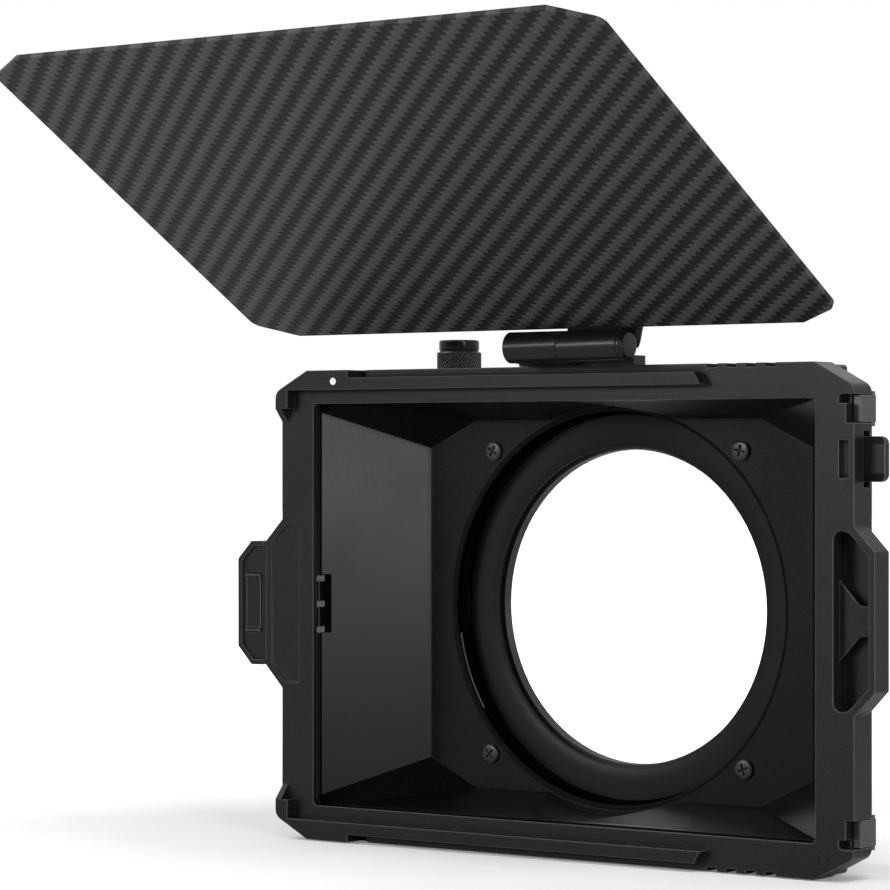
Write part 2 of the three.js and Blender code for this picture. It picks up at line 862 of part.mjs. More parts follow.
function releaseButton() {
  const innerX = frameHalfWidth - buttonSlotLip - fitGap - buttonFlange;
  const tipX = frameHalfWidth + buttonReach;
  const [low, high] = [buttonMidZ - buttonHalf, buttonMidZ + buttonHalf];
  const rear = buttonFront + buttonThickness;
  const section = [
    [rear, low],
    [rear, high],
    [buttonFront + buttonBandSlope, high],
    [buttonFront, high - buttonBand],
    [buttonFront, low + buttonBand],
    [buttonFront + buttonBandSlope, low],
  ];
  const side = [
    [innerX, low],
    [tipX, low, buttonCornerRadius],
    [tipX, high, buttonCornerRadius],
    [innerX, high],
  ];
  const body = prismX(section, innerX, tipX + overrun).intersect(
    prismY(side, buttonFront - overrun, rear + overrun),
  );
  const flangeHalf = buttonSlotHalf + buttonFlangeExtra;
  const flange = block(
    innerX,
    innerX + buttonFlange,
    buttonCellFront + slideGap,
    buttonCellRear - slideGap,
    buttonMidZ - flangeHalf,
    buttonMidZ + flangeHalf,
  );
  return joined(body, flange);
}

function buttonSpring() {
  const innerX = frameHalfWidth - buttonSlotLip - fitGap - buttonFlange;
  const startX = innerX - buttonSpringRoom + slideGap / 2;
  const y = (buttonCellFront + buttonCellRear) / 2;
  const spring = coil(buttonSpringRadius, buttonSpringRoom - slideGap);
  return solid(spring.rotateZ(-Math.PI / 2).translate(startX, y, buttonMidZ));
}

// Filter tray, with its clip bay and its end block

function filterTray() {
  const plate = prismY(trayCorners(), trayFront, trayRear);
  const [w, h] = [windowHalfWidth, windowHalfHeight];
  const window = prismY(rectangle(-w, w, -h, h), trayFront - overrun, trayRear + overrun);
  const backX = clipBarX - clipBarWidth - clipBayBack;
  const mouthHalf = clipHalf + slideGap;
  const shoulderHalf = mouthHalf + clipShoulder;
  const mouthX = clipBarX - clipBarWidth + clipShoulderWidth + slideGap;
  const floorY = trayRear - clipFloor;
  const bay = joined(
    block(backX, mouthX, trayFront - overrun, floorY, -shoulderHalf, shoulderHalf),
    block(backX, -w + overrun, trayFront - overrun, floorY, -mouthHalf, mouthHalf),
  );
  const root = frameHalfWidth + slideGap;
  const endBlock = prismY(
    [
      [-root, -earRootHalf + slideGap],
      [blockTipX, -earTipHalf + slideGap, earRadius],
      [blockTipX, earTipHalf - slideGap, earRadius],
      [-root, earRootHalf - slideGap],
    ],
    trayFront,
    blockRear,
  );
  const neck = block(
    blockRootX - overrun,
    trayLeftX + overrun,
    trayFront,
    trayRear,
    -earRootHalf + overrun,
    earRootHalf - overrun,
  );
  const lapRoomX = blockTipX + lapReach + fitGap;
  const lapFront = blockRear - lapThickness - restGap;
  const lapRoom = block(
    blockTipX - overrun,
    lapRoomX,
    lapFront,
    blockRear + overrun,
    -lapHalf - fitGap,
    lapHalf + fitGap,
  );
  const hole = rod(smallShank + fitGap, lapFront - handleScrewBite - fitGap, lapFront + overrun);
  const screwX = blockTipX + lapReach / 2;
  const holes = [1, -1].map((s) => turnedY(hole, screwX, s * handleScrewHalf, smallSides));
  const body = joined(cutBy(plate, window, bay), endBlock, neck);
  return cutBy(body, lapRoom, ...holes);
}

function pressCentreX() {
  return -(earTipX + handleSeam + handleReach) + pressInset + pressWidth / 2;
}

function trayHandle() {
  const rootX = -(earTipX + handleSeam);
  const tipX = rootX - handleReach;
  const front = -handleProud;
  const contour = [
    [rootX, -handleHalf, handleRadius],
    [rootX - handleStraight, -handleHalf],
    [tipX, -handleTipHalf, handleRadius],
    [tipX, handleTipHalf, handleRadius],
    [rootX - handleStraight, handleHalf],
    [rootX, handleHalf, handleRadius],
  ];
  const inner = [
    [rootX + overrun, -handleHalf + handleRim],
    [rootX - handleStraight + handleRim / 2, -handleHalf + handleRim],
    [tipX + handleRim, -handleTipHalf + handleRim / 2],
    [tipX + handleRim, handleTipHalf - handleRim / 2],
    [rootX - handleStraight + handleRim / 2, handleHalf - handleRim],
    [rootX + overrun, handleHalf - handleRim],
  ];
  const body = prismY(contour, front, blockRear);
  const recess = prismY(inner, front - overrun, front + handleRecess);
  const x = pressCentreX();
  const mouthX = pressWidth / 2 + pressGap;
  const mouthZ = pressHalf + pressGap;
  const cellX = mouthX + pressFlangeExtra;
  const cellZ = mouthZ + pressFlangeExtra;
  const mouth = block(x - mouthX, x + mouthX, front - overrun, pressCellRear, -mouthZ, mouthZ);
  const cell = block(x - cellX, x + cellX, pressCellFront, pressCellRear, -cellZ, cellZ);
  const bridgeFront = trayFront + slideGap;
  const bridge = block(
    rootX - embed,
    blockTipX - restGap,
    bridgeFront,
    blockRear,
    -handleTipHalf,
    handleTipHalf,
  );
  const lap = block(
    rootX,
    blockTipX + lapReach,
    blockRear - lapThickness,
    blockRear,
    -lapHalf,
    lapHalf,
  );
  const hole = rod(smallShank + fitGap, trayFront, blockRear);
  const sink = rod(smallHeadRadius + fitGap, blockRear - smallHead - fitGap, blockRear + overrun);
  const screwX = blockTipX + lapReach / 2;
  const bored = [1, -1].flatMap((s) => [
    turnedY(hole, screwX, s * handleScrewHalf, smallSides),
    turnedY(sink, screwX, s * handleScrewHalf, smallSides),
  ]);
  return cutBy(joined(cutBy(body, recess), bridge, lap), mouth, cell, ...bored);
}

function pressBlock() {
  const x = pressCentreX();
  const top = -handleProud - pressProud;
  const rear = pressFlangeFront + pressFlange;
  const crest = pressHalf - pressEase;
  const half = [
    [rear, pressHalf],
    [top + pressEase, pressHalf],
    [top, crest],
    [top + pressScoop, crest - pressRamp],
  ];
  const section = [...half, ...half.map(([y, z]) => [y, -z]).reverse()];
  const halfWidth = pressWidth / 2;
  const head = prismX(section, x - halfWidth, x + halfWidth);
  const [flangeX, flangeZ] = [halfWidth + pressFlangeExtra, pressHalf + pressFlangeExtra];
  const flange = block(x - flangeX, x + flangeX, pressFlangeFront, rear, -flangeZ, flangeZ);
  return joined(head, flange);
}

function pressSpring() {
  const start = pressFlangeFront + pressFlange + slideGap / 2;
  const end = pressCellRear - slideGap / 2;
  return solid(coil(pressSpringRadius, end - start).translate(pressCentreX(), start, 0));
}

function filterClip() {
  const barX = clipBarX;
  const front = trayFront;
  const rear = trayRear - clipFloor - slideGap / 2;
  const bar = block(barX - clipBarWidth, barX, front, rear, -clipHalf, clipHalf);
  const shoulderX = barX - clipBarWidth + clipShoulderWidth;
  const shoulderHalf = clipHalf + clipShoulder - slideGap / 2;
  const shoulders = block(barX - clipBarWidth, shoulderX, front, rear, -shoulderHalf, shoulderHalf);
  const teeth = [-1, 0, 1].map((k) => {
    const z = k * clipToothPitch;
    const tipX = barX + clipToothLength;
    return block(barX - overrun, tipX, front, rear, z - clipToothWidth / 2, z + clipToothWidth / 2);
  });
  return joined(bar, shoulders, ...teeth);
}

function clipSpring(sign) {
  const startX = clipBarX - clipBarWidth - clipBayBack + slideGap / 2;
  const y = (trayFront + trayRear - clipFloor) / 2;
  const spring = coil(clipSpringRadius, clipBayBack - slideGap);
  return solid(spring.rotateZ(-Math.PI / 2).translate(startX, y, sign * clipSpringPitch));
}

// Rear housing with its funnel

function funnelAt(y) {
  const share = (y - slotRear) / (panelDepth - slotRear);
  const blend = (from, to) => from + (to - from) * share;
  return octagon(
    blend(funnelFrontHalfWidth, funnelRearHalfWidth),
    blend(funnelFrontHalfHeight, funnelRearHalfHeight),
    blend(funnelFrontRun, funnelRearRun),
    blend(funnelFrontDrop, funnelRearDrop),
  );
}

function rearHousing() {
  const [w, h] = [flangeHalfWidth, flangeHalfHeight];
  const straightEnd = bodyFront + bodyStraight;
  const neckEnd = bodyFront + overrun;
  const bodyOutline = octagon(bodyHalfWidth, bodyHalfHeight, bodyCorner, bodyCorner);
  const rearOutline = octagon(rearHalfWidth, rearHalfHeight, rearCornerRun, rearCornerDrop);
  const shell = joined(
    prismY(rectangle(-w, w, -h, h), slotRear, frameDepth),
    prismY(rectangle(-bodyHalfWidth, bodyHalfWidth, -h, h), slotRear, neckEnd),
    prismY(bodyOutline, bodyFront, straightEnd),
    loft(bodyOutline, straightEnd, rearOutline, panelDepth),
    prismY(rearOutline, panelDepth, rearDepth),
  );
  const bossRadius = rearDepth - clampY;
  const bossFoot = rearHalfHeight - rearCornerDrop;
  const boss = turnedZ(rod(bossRadius, bossFoot, clampBossTop), clampX, clampY, midSides);
  const funnelFront = slotRear - overrun;
  const funnel = loft(funnelAt(funnelFront), funnelFront, funnelAt(panelDepth), panelDepth);
  const relief = turnedY(rod(reliefRadius, funnelFront, panelDepth), 0, 0, bigSides);
  const lipMouth = boreRadius + boreLipChamfer;
  const lipHole = [
    [0, panelDepth - overrun],
    [lipMouth, panelDepth - overrun],
    [lipMouth, panelDepth],
    [boreRadius, panelDepth + boreLipChamfer],
    [boreRadius, panelDepth + boreLip + embed],
    [0, panelDepth + boreLip + embed],
  ];
  const bore = turnedY(rod(housingBore, panelDepth + boreLip, rearDepth + overrun), 0, 0, bigSides);
  const windowX = -(funnelFrontHalfWidth + clipWindowReach);
  const clipWindow = block(
    windowX,
    windowX + flangeHalfWidth - funnelRearHalfWidth,
    slotRear - overrun,
    slotRear + clipWindowDepth,
    -clipWindowHalf,
    clipWindowHalf,
  );
  const cuts = [funnel, relief, turnedY(lipHole, 0, 0, bigSides), bore, clipWindow];
  cuts.push(shoeRoom(shoePocketRadius, -shoeHalf - fitGap, shoeHalf + clampTravel + fitGap));
  cuts.push(clampHole(0, clampBossTop + overrun));
  const panelHole = rod(panelScrewShank + fitGap, panelDepth - overrun, panelDepth + panelScrewLength);
  for (const [x, z] of panelScrewPlaces()) cuts.push(turnedY(panelHole, x, z, smallSides));
  const seatY = bodyFront + frameScrewSeat;
  for (const [x, z] of frameScrewPlaces()) {
    cuts.push(turnedY(rod(smallShank + fitGap, bodyFront - overrun, seatY + overrun), x, z, smallSides));
    cuts.push(turnedY(rod(smallHeadRadius + fitGap, seatY, panelDepth), x, z, smallSides));
  }
  return cutBy(joined(shell, boss), ...cuts);
}

// Bore sleeve with its slit, wire groove and shoe window

function boreSleeve() {
  const rear = panelDepth + sleeveLength;
  const body = turnedY(tube(boreRadius, sleeveOuter, sleeveFront, rear), 0, 0, bigSides);
  const slitY = panelDepth + slitFront;
  const round = (slitHeight / 2) * slitRoundShare;
  const slit = prismX(
    [
      [slitY, -slitHalf, round],
      [slitY + slitHeight, -slitHalf, round],
      [slitY + slitHeight, slitHalf, round],
      [slitY, slitHalf, round],
    ],
    -sleeveOuter - overrun,
    -boreRadius + overrun + sleeveWall,
  );
  const grooveReach = wireRadius + wireGap;
  const wireY = panelDepth + wireDepth;
  const groove = turnedY(
    tube(boreRadius - overrun, boreRadius + grooveReach, wireY - grooveReach, wireY + grooveReach),
    0,
    0,
    bigSides,
  );
  const room = shoeRoom(shoePocketRadius, -shoeHalf - fitGap, shoeHalf + clampTravel + fitGap);
  return cutBy(body, slit, groove, room);
}

// The wire rests in the sleeve's groove and its first end turns out into the slit.
function ringSpring() {
  const y = panelDepth + wireDepth;
  const [from, to] = [wireStartDegrees, wireEndDegrees].map(THREE.MathUtils.degToRad);
  const points = [];
  for (let k = 0; k <= wireSteps; k += 1) {
    const angle = from + ((to - from) * k) / wireSteps;
    points.push(new THREE.Vector3(boreRadius * Math.cos(angle), y, boreRadius * Math.sin(angle)));
  }
  const curve = new THREE.CatmullRomCurve3(points);
  return solid(wire(curve, wireRadius, 2 * wireSteps));
}

// Adapter ring and threaded ring

function adapterRing() {
  const land = ringFace + ringStep;
  const flangeRoom = ringSeat - threadFlange - fitGap;
  const profile = [
    [ringBoreRadius, land],
    [ringLandRadius, ringFace],
    [ringOuter - ringStep, ringFace],
    [ringOuter, ringFace + ringStep],
    [ringOuter, ringSeat],
    [threadFlangeRadius + fitGap, ringSeat],
    [threadFlangeRadius + fitGap, flangeRoom],
    [ringBoreRadius, flangeRoom],
    [ringBoreRadius, land],
  ];
  return turnedY(profile, 0, 0, bigSides);
}

function threadRing() {
  const profile = [
    [threadInnerRadius, ringSeat - threadFlange],
    [threadFlangeRadius, ringSeat - threadFlange],
    [threadFlangeRadius, ringSeat],
    [threadOuterRadius, ringSeat],
    [threadOuterRadius, ringSeat + threadLength],
    [threadInnerRadius, ringSeat + threadLength],
    [threadInnerRadius, ringSeat - threadFlange],
  ];
  return turnedY(profile, 0, 0, bigSides);
}

// Clamp

function clampKnob() {
  const base = clampBossTop + fitGap;
  const corners = [];
  for (let i = 0; i < knurlTeeth * 2; i += 1) {
    const angle = (Math.PI * i) / knurlTeeth;
    const radius = i % 2 ? knurlRadius : knurlRadius - knurlDepth;
    corners.push([clampX + radius * Math.cos(angle), clampY + radius * Math.sin(angle)]);
  }
  const grip = prismZ(corners, base, knurlTop);
  const cap = [
    [0, knurlTop - overrun],
    [knobCapRadius, knurlTop - overrun],
    [knobCapRadius, knobTop - knobRounding],
    [knobCapRadius - knobRounding, knobTop],
    [0, knobTop],
  ];
  const hole = clampHole(base - overrun, base + studInKnob + fitGap);
  return cutBy(joined(grip, turnedZ(cap, clampX, clampY, midSides)), hole);
}

function clampStud() {
  const base = clampBossTop + fitGap;
  const tip = -shoeHalf + studTipRise;
  return turnedZ(rod(studRadius, tip, base + studInKnob), clampX, clampY, midSides);
}

function clampShoe() {
  const body = shoeRoom(shoeRadius, -shoeHalf, shoeHalf);
  const scallop = rod(ringOuter + shoeGap, clampY - shoeRadius - overrun, clampY + shoeRadius + overrun);
  const hole = clampHole(-shoeHalf + studTipRise - fitGap - clampTravel, shoeHalf + overrun);
  return cutBy(body, turnedY(scallop, 0, 0, bigSides), hole);
}

// Screws: a head, a shank and a socket, with the shank along +Y from the seat at y = 0

function screw(headRadius, head, shank, length) {
  const profile = [
    [0, socketDepth - head],
    [socketRadius, socketDepth - head],
    [socketRadius, -head],
    [headRadius - screwEdge, -head],
    [headRadius, screwEdge - head],
    [headRadius, 0],
    [shank, 0],
    [shank, length],
    [0, length],
  ];
  return turned(profile, smallSides);
}

// The panel screws stand on one circle, each with its cross recess turned its own way.
function panelScrewPlaces() {
  const reach = boreRadius + panelScrewOut;
  const upper = THREE.MathUtils.degToRad(panelScrewUpperDegrees);
  const lower = THREE.MathUtils.degToRad(-panelScrewLowerDegrees);
  return [upper, upper, lower, lower].map((angle, i) => {
    const side = i % 2 ? 1 : -1;
    return [side * reach * Math.cos(angle), reach * Math.sin(angle), crossTurns[i]];
  });
}

function frameScrewPlaces() {
  const z = frameHalfHeight - frameScrewDrop;
  return [[-frameScrewX, z], [frameScrewX, z], [-frameScrewX, -z], [frameScrewX, -z]];
}

function panelScrew([x, z, turnDegrees]) {
  const [r, head] = [panelScrewHeadRadius, panelScrewHead];
  const length = panelScrewLength - fitGap;
  const profile = [
    [0, -head],
    [r - 2 * screwEdge, -head],
    [r, screwEdge - head],
    [r, 0],
    [panelScrewShank, 0],
    [panelScrewShank, length],
    [0, length],
  ];
  const [front, floor] = [-head - overrun, crossDepth - head];
  const cross = joined(
    block(-crossHalf, crossHalf, front, floor, -crossArm, crossArm),
    block(-crossArm, crossArm, front, floor, -crossHalf, crossHalf),
  );
  const body = turnedY(profile, 0, 0, screwSides);
  const made = cutBy(body, cross.rotate([0, turnDegrees, 0]));
  return made.translate([x, panelDepth - restGap, z]);
}

function frameScrew(place) {
  const length = frameScrewSeat + frameScrewBite - fitGap;
  const made = screw(smallHeadRadius, smallHead, smallShank, length).rotateX(Math.PI);
  return solid(made.translate(place[0], bodyFront + frameScrewSeat + restGap, place[1]));
}

function handleScrew(sign) {
  const seat = blockRear - smallHead - fitGap + restGap;
  const length = seat - (blockRear - lapThickness - handleScrewBite);
  const made = screw(smallHeadRadius, smallHead, smallShank, length).rotateX(Math.PI);
  return solid(made.translate(blockTipX + lapReach / 2, seat, sign * handleScrewHalf));
}

function hingeScrew(x) {
  const seat = frameHalfHeight + hingeBaseThickness + 2 * restGap;
  const made = screw(smallHeadRadius, smallHead, smallShank, hingeScrewLength);
  return solid(made.rotateX(-Math.PI / 2).translate(x, hingeBaseDepth / 2, seat));
}

// Hinge

function hingeBase() {
  const low = frameHalfHeight + restGap;
  const high = low + hingeBaseThickness;
  const slab = block(hingeBaseStart, hingeBaseEnd, 0, hingeBaseDepth, low, high);
  const barrel = turnedX(
    rod(barrelRadius, fixedBarrelStart, fixedBarrelEnd),
    hingeY,
    hingeZ,
    midSides,
  );
  const spread = THREE.MathUtils.degToRad(armSpreadDegrees);
  const [armY, armZ] = [barrelRadius * Math.sin(spread), barrelRadius * Math.cos(spread)];
  const arm = prismX(
    [
      [fitGap, low],
      [fitGap, high],
      [hingeY + armY, hingeZ + armZ],
      [hingeY - armY, hingeZ - armZ],
    ],
    fixedBarrelStart,
    fixedBarrelEnd,
  );
  const bore = rod(pinRadius + pinGap, fixedBarrelStart - overrun, fixedBarrelEnd + overrun);
  const holes = [hingeScrewFirstX, hingeScrewSecondX].map((x) =>
    turnedZ(rod(smallShank + fitGap, low - overrun, high + overrun), x, hingeBaseDepth / 2, smallSides),
  );
  return cutBy(joined(slab, barrel, arm), turnedX(bore, hingeY, hingeZ, smallSides), ...holes);
}

const barrelStart = fixedBarrelEnd + barrelSplit;
const barrelEnd = barrelStart + barrelLength;

function hingePin() {
  const end = barrelEnd - pinCover - fitGap;
  const pin = rod(pinRadius, fixedBarrelStart + pinFromStart, end);
  return turnedX(pin, hingeY, hingeZ, smallSides);
}

function frictionWasher() {
  const start = fixedBarrelEnd + (barrelSplit - washerThickness) / 2;
  const ring = tube(pinRadius + pinGap, washerRadius, start, start + washerThickness);
  return turnedX(ring, hingeY, hingeZ, midSides);
}

// The moving barrel and the flag lie in the flag's own frame: axis along X through its origin,
// the plate above it, forward along -Y.

function hingeBarrel() {
  const profile = [
    [0, barrelStart],
    [barrelRadius, barrelStart],
    [barrelRadius, barrelEnd - barrelGrooveFromEnd - barrelGroove],
    [barrelRadius - barrelGroove, barrelEnd - barrelGrooveFromEnd - barrelGroove],
    [barrelRadius - barrelGroove, barrelEnd - barrelGrooveFromEnd],
    [barrelRadius, barrelEnd - barrelGrooveFromEnd],
  ];
  for (let k = 0; k <= cornerSteps; k += 1) {
    const angle = (Math.PI / 2) * (k / cornerSteps);
    const r = barrelRadius - barrelFillet * (1 - Math.cos(angle));
    profile.push([r, barrelEnd - barrelFillet * (1 - Math.sin(angle))]);
  }
  profile.push([0, barrelEnd]);
  const padStart = barrelStart + padInset;
  const padEnd = barrelEnd - barrelGrooveFromEnd - barrelGroove - padInset;
  const pad = block(padStart, padEnd, -padHalf, padHalf, 0, flagOffset - restGap);
  const bore = rod(pinRadius + pinGap, barrelStart - overrun, barrelEnd - pinCover);
  const holes = flagScrewPlaces().map((x) =>
    turnedZ(rod(smallShank + fitGap, flagOffset - flagScrewBite - fitGap, flagOffset), x, 0, smallSides),
  );
  const body = joined(turnedX(profile, 0, 0, midSides), pad);
  return cutBy(body, turnedX(bore, 0, 0, smallSides), ...holes);
}

function flagScrewPlaces() {
  const first = barrelStart + flagScrewInset;
  return [first, first + flagScrewPitch];
}

function flag() {
  const rear = -flagSetback;
  const front = rear - flagLength;
  const run = flagHalfWidth - flagCornerRun;
  const outline = [
    [-run, rear],
    [-flagHalfWidth, rear - flagCornerDrop, flagCornerRadius],
    [-flagHalfWidth, front + flagCornerDrop, flagCornerRadius],
    [-run, front],
    [run, front],
    [flagHalfWidth, front + flagCornerDrop, flagCornerRadius],
    [flagHalfWidth, rear - flagCornerDrop, flagCornerRadius],
    [run, rear],
    [tongueStart + tongueWidth, rear],
    [tongueStart + tongueWidth - tongueTaper, rear + tongueLength, tongueRadius],
    [tongueStart, rear + tongueLength, tongueRadius],
    [tongueStart, rear],
  ];
  const plate = prismZ(outline, flagOffset, flagOffset + flagThickness);
  const hole = rod(smallShank + fitGap, flagOffset - overrun, flagOffset + flagThickness + overrun);
  return cutBy(plate, ...flagScrewPlaces().map((x) => turnedZ(hole, x, 0, smallSides)));
}

function flagScrew(x) {
  const made = screw(smallHeadRadius, smallHead, smallShank, flagThickness + flagScrewBite);
  const seat = flagOffset + flagThickness + restGap;
  return solid(made.rotateX(-Math.PI / 2).translate(x, 0, seat));
}

// Finishes

const finishes = {
  blackShell: { color: 0x1d1d1e, roughness: 0.55, metalness: 0 },
  blackMetal: { color: 0x161617, roughness: 0.45, metalness: 0.8 },
  greyShell: { color: 0x2b2b2c, roughness: 0.6, metalness: 0 },
  steel: { color: 0x9a9a9c, roughness: 0.3, metalness: 1 },
  carbon: { color: 0x26262a, roughness: 0.35, metalness: 0.1 },
  whitePaint: { color: 0xe8e8e4, roughness: 0.6, metalness: 0 },
};

function piece(name, body, finish) {
  const { vertProperties, triVerts } = body.getMesh();
  const geometry = new THREE.BufferGeometry();
  geometry.setAttribute("position", new THREE.BufferAttribute(vertProperties, 3));
  geometry.setIndex(new THREE.BufferAttribute(triVerts, 1));
  geometry.computeVertexNormals();
  const mesh = new THREE.Mesh(geometry, new THREE.MeshStandardMaterial(finishes[finish]));
  mesh.name = name;
  return mesh;
}

// Assembly

function frameGroup() {
  const group = new THREE.Group();
  group.add(
    piece("front_frame", frontFrame(), "blackShell"),
    piece("index_dot", indexDot(), "whitePaint"),
    piece("corner_catch_upper", cornerCatch(1), "greyShell"),
    piece("corner_catch_lower", cornerCatch(-1), "greyShell"),
    piece("release_button", releaseButton(), "greyShell"),
    piece("button_spring", buttonSpring(), "steel"),
  );
  return group;
}

function trayGroup() {
  const group = new THREE.Group();
  group.add(
    piece("filter_tray", filterTray(), "blackShell"),
    piece("tray_handle", trayHandle(), "blackShell"),
    piece("handle_screw_upper", handleScrew(1), "blackMetal"),
    piece("handle_screw_lower", handleScrew(-1), "blackMetal"),
    piece("press_block", pressBlock(), "greyShell"),
    piece("press_spring", pressSpring(), "steel"),
    piece("filter_clip", filterClip(), "greyShell"),
    piece("clip_spring_upper", clipSpring(1), "steel"),
    piece("clip_spring_lower", clipSpring(-1), "steel"),
  );
  return group;
}

function housingGroup() {
  const group = new THREE.Group();
  group.add(
    piece("rear_housing", rearHousing(), "blackShell"),
    piece("bore_sleeve", boreSleeve(), "blackMetal"),
    piece("ring_spring", ringSpring(), "steel"),
    piece("adapter_ring", adapterRing(), "blackMetal"),
    piece("lens_thread_ring", threadRing(), "blackMetal"),
    piece("clamp_knob", clampKnob(), "blackMetal"),
    piece("clamp_stud", clampStud(), "steel"),
    piece("clamp_shoe", clampShoe(), "blackMetal"),
  );
  panelScrewPlaces().forEach((place, i) => {
    group.add(piece(`panel_screw_${i + 1}`, panelScrew(place), "blackMetal"));
  });
  frameScrewPlaces().forEach((place, i) => {
    group.add(piece(`frame_screw_${i + 1}`, frameScrew(place), "blackMetal"));
  });
  return group;
}

function hingeGroup() {
  const group = new THREE.Group();
  group.add(
    piece("hinge_base", hingeBase(), "blackMetal"),
    piece("hinge_pin", hingePin(), "steel"),
    piece("friction_washer", frictionWasher(), "steel"),
    piece("hinge_screw_1", hingeScrew(hingeScrewFirstX), "blackMetal"),
    piece("hinge_screw_2", hingeScrew(hingeScrewSecondX), "blackMetal"),
  );
  return group;
}

function flagGroup() {
  const group = new THREE.Group();
  group.add(
    piece("hinge_barrel", hingeBarrel(), "blackMetal"),
    piece("flag", flag(), "carbon"),
  );
  flagScrewPlaces().forEach((x, i) => {
    group.add(piece(`flag_screw_${i + 1}`, flagScrew(x), "blackMetal"));
  });
  group.rotation.x = -THREE.MathUtils.degToRad(flagRiseDegrees);
  group.position.set(0, hingeY, hingeZ);
  return group;
}

const matteBox = new THREE.Group();
matteBox.add(frameGroup(), trayGroup(), housingGroup(), hingeGroup(), flagGroup());
matteBox.position.y = -ringSeat;

export default matteBox;
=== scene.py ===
"""A matte box with a filter tray and a carbon top flag, dressed for a product view."""

import json
import math

import bpy
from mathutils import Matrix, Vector

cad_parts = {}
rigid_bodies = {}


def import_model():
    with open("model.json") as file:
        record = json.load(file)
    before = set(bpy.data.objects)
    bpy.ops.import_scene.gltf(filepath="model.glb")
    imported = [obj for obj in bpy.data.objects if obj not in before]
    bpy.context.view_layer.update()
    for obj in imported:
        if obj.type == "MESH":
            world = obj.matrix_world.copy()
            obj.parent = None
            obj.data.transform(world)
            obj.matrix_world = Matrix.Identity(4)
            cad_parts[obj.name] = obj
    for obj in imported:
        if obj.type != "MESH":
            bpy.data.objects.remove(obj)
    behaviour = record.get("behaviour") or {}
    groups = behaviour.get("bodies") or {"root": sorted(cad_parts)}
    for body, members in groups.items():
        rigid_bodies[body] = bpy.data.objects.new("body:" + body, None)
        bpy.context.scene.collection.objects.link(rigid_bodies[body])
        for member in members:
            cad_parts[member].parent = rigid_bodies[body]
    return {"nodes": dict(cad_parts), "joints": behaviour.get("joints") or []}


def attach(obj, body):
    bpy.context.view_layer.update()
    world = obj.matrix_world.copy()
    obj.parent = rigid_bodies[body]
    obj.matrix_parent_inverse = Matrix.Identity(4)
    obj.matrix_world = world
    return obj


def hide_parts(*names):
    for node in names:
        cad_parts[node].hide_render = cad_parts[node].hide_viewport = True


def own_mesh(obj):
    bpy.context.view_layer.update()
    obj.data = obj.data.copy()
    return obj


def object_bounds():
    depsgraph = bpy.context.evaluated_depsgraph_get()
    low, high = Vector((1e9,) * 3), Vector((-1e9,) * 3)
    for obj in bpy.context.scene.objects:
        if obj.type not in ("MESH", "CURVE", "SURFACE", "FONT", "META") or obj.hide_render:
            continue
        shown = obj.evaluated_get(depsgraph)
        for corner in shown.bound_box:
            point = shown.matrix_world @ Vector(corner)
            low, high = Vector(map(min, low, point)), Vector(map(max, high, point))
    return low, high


for stray in list(bpy.data.objects):
    bpy.data.objects.remove(stray)

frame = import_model()
cad_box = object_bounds()
nodes = frame["nodes"]


# Node trees

EDGE_SAMPLES, CORNER_SAMPLES = 6, 5
CORNER_REACH = 0.0016


